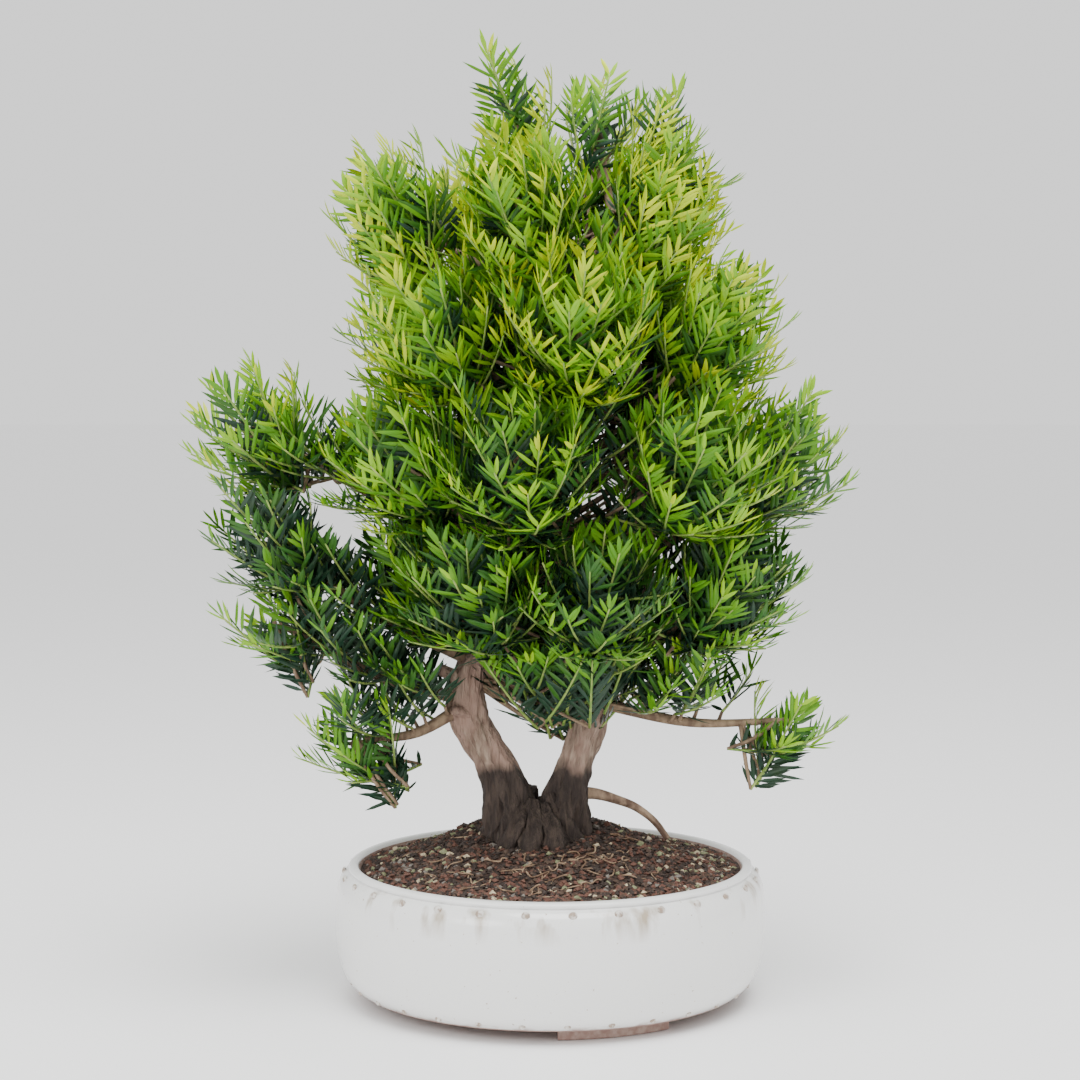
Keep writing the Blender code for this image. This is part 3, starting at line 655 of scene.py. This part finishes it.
# What a needle's place on its shoot and its age and painted shade add to its youth and light.
PLACE_YOUTH = 0.75
AGE_YOUTH = 0.72
YOUTH_SCATTER = 0.05
YOUTH_CUT = 0.36
SHOOT_RADIUS = 0.0011
SHOOT_TAPER = 0.0005
SHOOT_SAG = 0.10
SHOOT_STEPS = 6
SHOOT_CORNERS = 5
crown_dice = random.Random(41)
needle_corners = {name: [] for name, _ in NEEDLE_TINTS}
shoot_verts, shoot_faces = [], []


def add_needle(root, along, face, length, bend, corners):
    """A needle's eight corners: root, three at the waist, three at the breast, and the tip."""
    side = along.cross(face).normalized()
    waist = root + along * length * WAIST[0] + face * bend * WAIST[1]
    breast = root + along * length * BREAST[0] + face * bend * BREAST[1]
    tip = root + along * length + face * bend
    half = side * NEEDLE_WIDTH / 2
    breast_half = side * NEEDLE_WIDTH * BREAST_HALF
    keel = face * NEEDLE_WIDTH * KEEL_DEPTH
    corners.append((
        root, waist - half, waist - keel, waist + half,
        breast - breast_half, breast - keel, breast + breast_half, tip,
    ))


def tint_at(share, age_and_shade):
    """The tint of a needle at this share of its shoot's length, from its age and painted shade."""
    youth_and_light = share * PLACE_YOUTH + (1.0 - age_and_shade) * AGE_YOUTH
    youth_and_light += crown_dice.gauss(0.0, YOUTH_SCATTER) - YOUTH_CUT
    return NEEDLE_TINTS[min(max(int((1.0 - youth_and_light) * 5.0), 0), 4)][0]


def add_shoot(start, end, lift, age_and_shade):
    """One shoot: a stem that bends towards lift, and needles in two ranks along it."""
    length = (end - start).length
    knee = (start + end) / 2 - lift * length * SHOOT_SAG

    def place_at(t):
        return start * (1 - t) ** 2 + knee * 2 * t * (1 - t) + end * t**2

    shares = [step / SHOOT_STEPS for step in range(SHOOT_STEPS + 1)]
    rows = [row_of(place_at(t), SHOOT_RADIUS - SHOOT_TAPER * t) for t in shares]
    add_tube(rows, SHOOT_CORNERS, shoot_verts, shoot_faces)
    last_run = (end - knee).normalized()
    side = last_run.cross(lift)
    if side.length < 0.1:
        side = last_run.cross(Vector((0.2, 1.0, 0.1)))
    side.normalize()
    count = int(length / NEEDLE_PITCH)
    for index in range(count):
        t = (index + 0.6) / count
        along = ((knee - start) * (1 - t) + (end - knee) * t).normalized()
        rank = 1 if index % 2 else -1
        sideways = (side - along * side.dot(along)).normalized()
        face = sideways.cross(along).normalized()
        if face.dot(lift) < 0:
            face = -face
        spread = math.radians(crown_dice.gauss(NEEDLE_SPREAD, SPREAD_SCATTER) - TIP_CLOSING * t**3)
        roll = math.radians(crown_dice.gauss(RANK_LIFT, LIFT_SCATTER))
        out = sideways * rank * math.cos(roll) + face * math.sin(roll)
        direction = (along * math.cos(spread) + out * math.sin(spread)).normalized()
        size = NEEDLE_LENGTH * crown_dice.uniform(*LENGTH_RANGE)
        size *= 1.0 - TIP_SHORTER * max(t - SHORTER_FROM, 0.0) / (1.0 - SHORTER_FROM)
        size *= min(FOOT_LENGTH + t * FOOT_GROWTH, 1.0)
        blade_face = (face - direction * face.dot(direction)).normalized()
        corners = needle_corners[tint_at(t, age_and_shade)]
        bend = size * crown_dice.uniform(*BEND_RANGE)
        add_needle(place_at(t), direction, blade_face, size, bend, corners)


# The boughs run from the stems into masses of foliage: four rings of them round the stems,
# and a few that stand out of the rings. A mass is a fan of twigs off its bough, each with a
# shoot at its end. Twigs and boughs have thin brown bark.

# Rows of the crown's outline: height, and how far it reaches left, right, front and back.
CROWN = (
    (0.230, -0.100, 0.165, 0.110, 0.115),
    (0.295, -0.150, 0.190, 0.150, 0.150),
    (0.370, -0.165, 0.212, 0.165, 0.165),
    (0.430, -0.150, 0.185, 0.155, 0.155),
    (0.500, -0.156, 0.156, 0.135, 0.135),
    (0.550, -0.152, 0.124, 0.112, 0.115),
    (0.610, -0.110, 0.100, 0.085, 0.085),
)
# An age of 0 is a mass of new growth, and 1 is one of old needles.
TIERS = (
    {"name": "skirt", "height": 0.288, "count": 7, "turn": 14.0,
     "half": (0.056, 0.050), "age_and_shade": 0.75},
    {"name": "flank", "height": 0.372, "count": 7, "turn": -12.0,
     "half": (0.060, 0.056), "age_and_shade": 0.50},
    {"name": "shoulder", "height": 0.460, "count": 6, "turn": 8.0,
     "half": (0.056, 0.058), "age_and_shade": 0.30},
    {"name": "upper", "height": 0.540, "count": 5, "turn": -10.0,
     "half": (0.048, 0.056), "age_and_shade": 0.18},
)
TIER_SHOOTS = 34
# Masses out of the rings: their middle, half sizes, shoots and age.
SINGLE_MASSES = (
    ("top_left", (-0.020, 0.002, 0.600), (0.034, 0.036, 0.050), 9, 0.1),
    ("top_middle", (0.034, 0.028, 0.603), (0.034, 0.034, 0.049), 9, 0.2),
    ("top_right", (0.070, -0.024, 0.580), (0.032, 0.034, 0.048), 9, 0.1),
    ("left_bough_upper", (-0.202, -0.002, 0.395), (0.056, 0.050, 0.050), 18, 0.35),
    ("left_bough_lower", (-0.190, -0.020, 0.318), (0.048, 0.046, 0.040), 14, 0.85),
    ("left_bough_tip", (-0.186, -0.026, 0.262), (0.052, 0.040, 0.026), 8, 0.6),
    ("left_drop", (-0.128, -0.034, 0.183), (0.052, 0.036, 0.036), 9, 0.6),
    ("right_drop", (0.163, -0.030, 0.196), (0.040, 0.034, 0.024), 6, 0.3),
)
# Shoots straight off a bough: how many, and between which shares of its length.
USUAL_BOUGH_SHOOTS = (6, 0.45, 0.90)
BOUGH_SHOOTS = {
    "left_bough_upper": (26, 0.35, 0.85),
    "left_bough_lower": (24, 0.35, 0.90),
    "left_bough_tip": (30, 0.14, 0.85),
    "left_drop": (11, 0.20, 0.90),
    "right_drop": (13, 0.16, 0.62),
}
BOUGH_SHOOT_LENGTHS = (0.040, 0.062)
BOUGH_SHOOT_STALKS = (0.004, 0.014)
BOUGH_SHOOT_AGE = 0.35
BOUGH_SLOPE = 0.45
LOWEST_BOUGH = 0.205
HIGHEST_BOUGH = 0.52
BOUGH_SAG = 0.008
BOUGH_RADII = (0.0046, 0.0034, 0.0020)
BOUGH_CORNERS = 10
BOUGH_RELIEF = 0.15
TWIG_RADII = (0.0016, 0.0014, 0.0011)
TWIG_CORNERS = 6
TWIG_SAG = 0.003
# A mass's twigs: the spare directions they are chosen from, the scatter of a direction, where
# on the bough they start, how near the mass's skin they end, and how long their shoots are.
SPARE_AIMS = 1.35
AIM_SCATTER = 0.15
BASE_RANGE = (0.35, 1.0)
TIP_RANGE = (0.80, 1.04)
SHOOT_LENGTHS = (0.052, 0.080)
# A shoot is older on the mass's inner side and gets painted shade there, it varies,
# and one in four is older again.
INNER_AGE_AND_SHADE = 0.40
AGE_SCATTER = 0.15
OLD_CHANCE = 0.25
OLD_STEP = 0.30
CROWN_MIDDLE_X = 0.010
YOUNG_AGE = 0.25
twig_verts, twig_faces = [], []


def between(rows, value):
    """The row at this value of its first number, read between its neighbours."""
    for low, high in zip(rows, rows[1:]):
        if value <= high[0]:
            break
    share = (value - low[0]) / (high[0] - low[0])
    return [a + (b - a) * share for a, b in zip(low[1:], high[1:])]


def row_at(stem, height):
    return Vector(between([(row[2], *row) for row in stem], height))


def even_directions(count):
    """Directions spread evenly over a ball."""
    golden = math.pi * (3 - math.sqrt(5))
    for index in range(count):
        height = 1 - 2 * (index + 0.5) / count
        ring = math.sqrt(1 - height * height)
        yield Vector((ring * math.cos(golden * index), ring * math.sin(golden * index), height))


def crown_masses():
    """Every mass of foliage: its name, middle, half sizes, shoots and age."""
    for tier in TIERS:
        left, right, front, back = between(CROWN, tier["height"])
        half, rise = tier["half"]
        for index in range(tier["count"]):
            out = heading(tier["turn"] + index * 360.0 / tier["count"])
            reach_x = right if out.x > 0 else -left
            reach_y = back if out.y > 0 else front
            middle = Vector((out.x * (reach_x - half), out.y * (reach_y - half), tier["height"]))
            name = f"{tier['name']}_{index + 1}"
            yield name, middle, Vector((half, half, rise)), TIER_SHOOTS, tier["age_and_shade"]
    for name, middle, half, shoots, age_and_shade in SINGLE_MASSES:
        yield name, Vector(middle), Vector(half), shoots, age_and_shade


def scatter(amount):
    return Vector(crown_dice.uniform(-1, 1) for _ in range(3)) * amount


def add_leafy_twig(base, tip, along, length, lift, age_and_shade):
    """A twig from the bough at base to a shoot of that length that ends at the tip."""
    root = tip - along * length
    knee = (base + root) / 2 - UP * TWIG_SAG
    twig = [row_of(place, radius) for place, radius in zip((base, knee, root), TWIG_RADII)]
    add_tube(smooth_rows(twig, 3), TWIG_CORNERS, twig_verts, twig_faces)
    add_shoot(root, tip, lift, min(max(age_and_shade, 0.0), 1.0))


def add_bough(middle):
    """The bough from the nearer stem to a mass's middle. Gives its rows and its halfway point."""
    spread = math.hypot(middle.x, middle.y)
    leave = max(min(middle.z - BOUGH_SLOPE * spread, HIGHEST_BOUGH), LOWEST_BOUGH)
    starts = [row_at(stem, leave) for stem in (LEFT_STEM, RIGHT_STEM)]
    start = min(starts, key=lambda row: (row.to_3d() - middle).length)
    sag = (start.to_3d() + middle) / 2 - UP * BOUGH_SAG
    places = (start.to_3d(), sag, middle)
    radii = (min(start.w * 0.5, BOUGH_RADII[0]), *BOUGH_RADII[1:])
    bough = smooth_rows([row_of(place, radius) for place, radius in zip(places, radii)], 8)
    add_tube(bough, BOUGH_CORNERS, twig_verts, twig_faces, BOUGH_RELIEF)
    return bough, sag


def fill_mass(middle, half, count, age_and_shade, sag, lean):
    """Twigs off the bough that end near the mass's skin, on its outer and upper side first."""
    roll = Matrix.Rotation(crown_dice.uniform(0.0, math.tau), 3, "Z")
    aims = [roll @ aim for aim in even_directions(int(count * SPARE_AIMS))]
    aims.sort(key=lambda aim: -aim.dot(lean))
    lean = lean.normalized()
    upward = 1.1 if age_and_shade < YOUNG_AGE else 0.6
    bough_end = middle + (middle - sag).normalized() * min(half) * 0.3
    for aim in aims[:count]:
        aim = (aim + scatter(AIM_SCATTER)).normalized()
        skin = Vector(aim[i] * half[i] for i in range(3))
        tip = middle + skin * crown_dice.uniform(*TIP_RANGE)
        along = (aim + lean * 0.5 + UP * upward).normalized()
        base = sag + (bough_end - sag) * crown_dice.uniform(*BASE_RANGE)
        # The inner side of the mass gets darker needles: older growth, and painted shade.
        shade = age_and_shade + INNER_AGE_AND_SHADE * max(-aim.dot(lean), 0.0)
        shade += crown_dice.uniform(-AGE_SCATTER, AGE_SCATTER)
        if crown_dice.random() < OLD_CHANCE:
            shade += OLD_STEP
        length = crown_dice.uniform(*SHOOT_LENGTHS)
        add_leafy_twig(base, tip, along, length, (lean + UP).normalized(), shade)


def dress_bough(name, bough, lean, age_and_shade):
    """Short shoots to both sides of the bough itself, of older needles than its mass has."""
    count, nearest, furthest = BOUGH_SHOOTS.get(name, USUAL_BOUGH_SHOOTS)
    for index in range(count):
        base = bough[int(len(bough) * crown_dice.uniform(nearest, furthest))].to_3d()
        side = UP.cross(lean).normalized() * crown_dice.choice((-1, 1))
        along = side * crown_dice.uniform(0.3, 1.0) + lean * 0.6
        along = (along + UP * crown_dice.uniform(-0.2, 0.9)).normalized()
        length = crown_dice.uniform(*BOUGH_SHOOT_LENGTHS)
        tip = base + along * (length + crown_dice.uniform(*BOUGH_SHOOT_STALKS))
        add_leafy_twig(base, tip, along, length, UP, age_and_shade + BOUGH_SHOOT_AGE)


for name, middle, half, count, age_and_shade in crown_masses():
    bough, sag = add_bough(middle)
    out = Vector((middle.x - CROWN_MIDDLE_X, middle.y, 0.0))
    lean = out.normalized() * min(out.length / 0.05, 1.0) + UP * 0.45
    fill_mass(middle, half, count, age_and_shade, sag, lean)
    dress_bough(name, bough, lean.normalized(), age_and_shade)

# Older shoots grow inside the crown, straight off the two stems, on twigs of their own.
# Their needles are also darkened with painted shade, the more the deeper and lower they sit.
# They close it between the masses: the first ones low, and the last ones low at the front.
INNER_SHOOTS = 300
LOW_SHOOTS = 70
FRONT_SHOOTS = 34
INNER_HEIGHTS = (0.240, 0.560)
LOW_HEIGHTS = (0.232, 0.275)
FRONT_HEIGHTS = (0.226, 0.262)
FRONT_SPREAD = 50.0
INNER_REACH = (0.30, 0.78)
INNER_LENGTHS = (0.050, 0.078)

for index in range(INNER_SHOOTS + FRONT_SHOOTS):
    height = crown_dice.uniform(*INNER_HEIGHTS)
    azimuth = crown_dice.uniform(0.0, 360.0)
    if index < LOW_SHOOTS:
        height = crown_dice.uniform(*LOW_HEIGHTS)
    if index >= INNER_SHOOTS:
        height = crown_dice.uniform(*FRONT_HEIGHTS)
        azimuth = crown_dice.uniform(-FRONT_SPREAD, FRONT_SPREAD)
    base = row_at(crown_dice.choice((LEFT_STEM, RIGHT_STEM)), height - 0.01).to_3d()
    out = heading(azimuth)
    left, right, front, back = between(CROWN, height)
    reach = min(right if out.x > 0 else -left, back if out.y > 0 else front)
    share = crown_dice.uniform(*INNER_REACH)
    tip = Vector((out.x * reach * share + CROWN_MIDDLE_X, out.y * reach * share, height))
    along = (out * 0.8 + UP * crown_dice.uniform(0.2, 1.1) + scatter(0.3)).normalized()
    # Darker the nearer the stems and the lower: older needles, and painted shade inside the crown.
    age_and_shade = 1.05 - 0.45 * share - 0.5 * (height - 0.25)
    add_leafy_twig(base, tip, along, crown_dice.uniform(*INNER_LENGTHS), UP, age_and_shade)

# All the boughs and twigs grown above are joined in one piece, which stands for the boughs.
# Their bark is thin, in streaks of a darker and a paler brown.
TWIG_BROWN = (0.20, 0.13, 0.07)
TWIG_DARK = (0.15, 0.095, 0.06)
TWIG_PALE = (0.30, 0.21, 0.13)

twig_bark = Finish("twig_bark", TWIG_BROWN, roughness=0.8)
rind = twig_bark.add_blotches(scale=160.0, low=0.4, high=0.62, stretch=0.4)
twig_bark.paint(twig_bark.mix(rind["Mask"], TWIG_DARK, TWIG_PALE))
twig_bark.raise_by(rind["Grain"], strength=0.6, distance=0.001)
twigs = make_piece("boughs_and_twigs", twig_verts, twig_faces, twig_bark.material)
boughs = [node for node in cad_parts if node.startswith("bough_")]
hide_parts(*boughs)

# The stems of the shoots are still green, with a thin rind that turns yellow in ribs.
# They were grown with the twigs above, and are a piece of their own.
RIND_GREEN = (0.20, 0.34, 0.06)
RIND_DARK = (0.17, 0.30, 0.05)
RIND_YELLOW = (0.30, 0.38, 0.09)

green_rind = Finish("green_rind", RIND_GREEN, roughness=0.6)
ribs = green_rind.add_blotches(scale=220.0, low=0.4, high=0.62, stretch=0.4)
green_rind.paint(green_rind.mix(ribs["Mask"], RIND_DARK, RIND_YELLOW))
shoot_stems = make_piece("shoot_stems", shoot_verts, shoot_faces, green_rind.material)

# The needles are joined by tint, in pieces small enough to export, and stand for the masses.
# Their skin is waxy but not bright, and a warmer green shows on it in places.
NEEDLE_FACES = np.array(
    ((0, 2, 1), (0, 3, 2), (1, 2, 5), (1, 5, 4), (2, 3, 6), (2, 6, 5), (4, 5, 7), (5, 6, 7))
)
NEEDLE_CORNERS = 8
MOST_NEEDLES = 24000


def warmer(colour):
    red, green, blue = colour
    return min(red * 1.35 + 0.01, 1.0), min(green * 1.12, 1.0), blue


mass_names = [name for name, *_ in crown_masses()]
first_leaf = None
for name, tint in NEEDLE_TINTS:
    skin = Finish(name, tint, roughness=0.42)
    skin.shader.inputs["Specular IOR Level"].default_value = 0.30
    patches = skin.add_blotches(scale=90.0, low=0.35, high=0.7)
    skin.paint(skin.mix(patches["Mask"], tint, warmer(tint)))
    needles = needle_corners[name]
    for first in range(0, len(needles), MOST_NEEDLES):
        batch = needles[first:first + MOST_NEEDLES]
        verts = [corner for blade in batch for corner in blade]
        starts = NEEDLE_CORNERS * np.arange(len(batch))[:, None, None]
        faces = (NEEDLE_FACES[None] + starts).reshape(-1, 3).tolist()
        leaves = make_piece(f"{name}_{first // MOST_NEEDLES + 1}", verts, faces, skin.material)
        first_leaf = first_leaf or leaves
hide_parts(*mass_names)

# The plant stands on a plain pale floor that runs on to the horizon.
# It is one large sheet, just under the pot's feet.
FLOOR_REACH = 40.0
FLOOR_DROP = 0.0003
FLOOR_WHITE = (0.96, 0.96, 0.96)

floor_paint = Finish("pale_floor", FLOOR_WHITE, roughness=0.9)
floor_sides = ((-1, -1), (1, -1), (1, 1), (-1, 1))
floor_corners = [(x * FLOOR_REACH, y * FLOOR_REACH, 0.0) for x, y in floor_sides]
floor = make_object("floor", floor_corners, [(0, 1, 2, 3)], floor_paint.material, smooth=False)
floor.location.z = -FLOOR_DROP

# The light is a white surround, a broad soft lamp above and a weaker one at the front left.
# All of it is plain white, as in a studio.
WHITE = (1.0, 1.0, 1.0, 1.0)
SURROUND_STRENGTH = 1.25
LIGHT_AIM = Vector((0.0, 0.0, 0.35))

world = bpy.data.worlds.new("studio")
bpy.context.scene.world = world
world.use_nodes = True
surround = world.node_tree.nodes["Background"]
surround.inputs["Color"].default_value = WHITE
surround.inputs["Strength"].default_value = SURROUND_STRENGTH


def soft_light(name, place, size, power):
    lamp = bpy.data.lights.new(name, "AREA")
    lamp.shape = "DISK"
    lamp.size = size
    lamp.energy = power
    light = bpy.data.objects.new(name, lamp)
    bpy.context.collection.objects.link(light)
    light.location = place
    light.rotation_euler = (LIGHT_AIM - Vector(place)).to_track_quat("-Z", "Y").to_euler()


soft_light("light_above", (0.2, -0.5, 2.0), size=1.4, power=46.0)
soft_light("light_front_left", (-1.3, -1.6, 1.2), size=1.0, power=16.0)

# The camera stands where the photograph was taken from: 1.6 m in front of the pot, a little
# above the middle of the crown, and tipped down by a few degrees.
VIEW_DISTANCE = 1.6
VIEW_HEIGHT = 0.4145
VIEW_PITCH = 3.44
VIEW_OFFSET = -0.0072
FOCAL_PIXELS = 2301.0
PICTURE_PIXELS = 1080.0
SENSOR_WIDTH = 36.0

camera_data = bpy.data.cameras.new("camera")
camera_data.sensor_width = SENSOR_WIDTH
camera_data.lens = SENSOR_WIDTH * FOCAL_PIXELS / PICTURE_PIXELS
camera = bpy.data.objects.new("camera", camera_data)
bpy.context.collection.objects.link(camera)
camera.location = axis + Vector((VIEW_OFFSET, -VIEW_DISTANCE, VIEW_HEIGHT))
camera.rotation_euler = (math.radians(90.0 - VIEW_PITCH), 0.0, 0.0)
bpy.context.scene.camera = camera
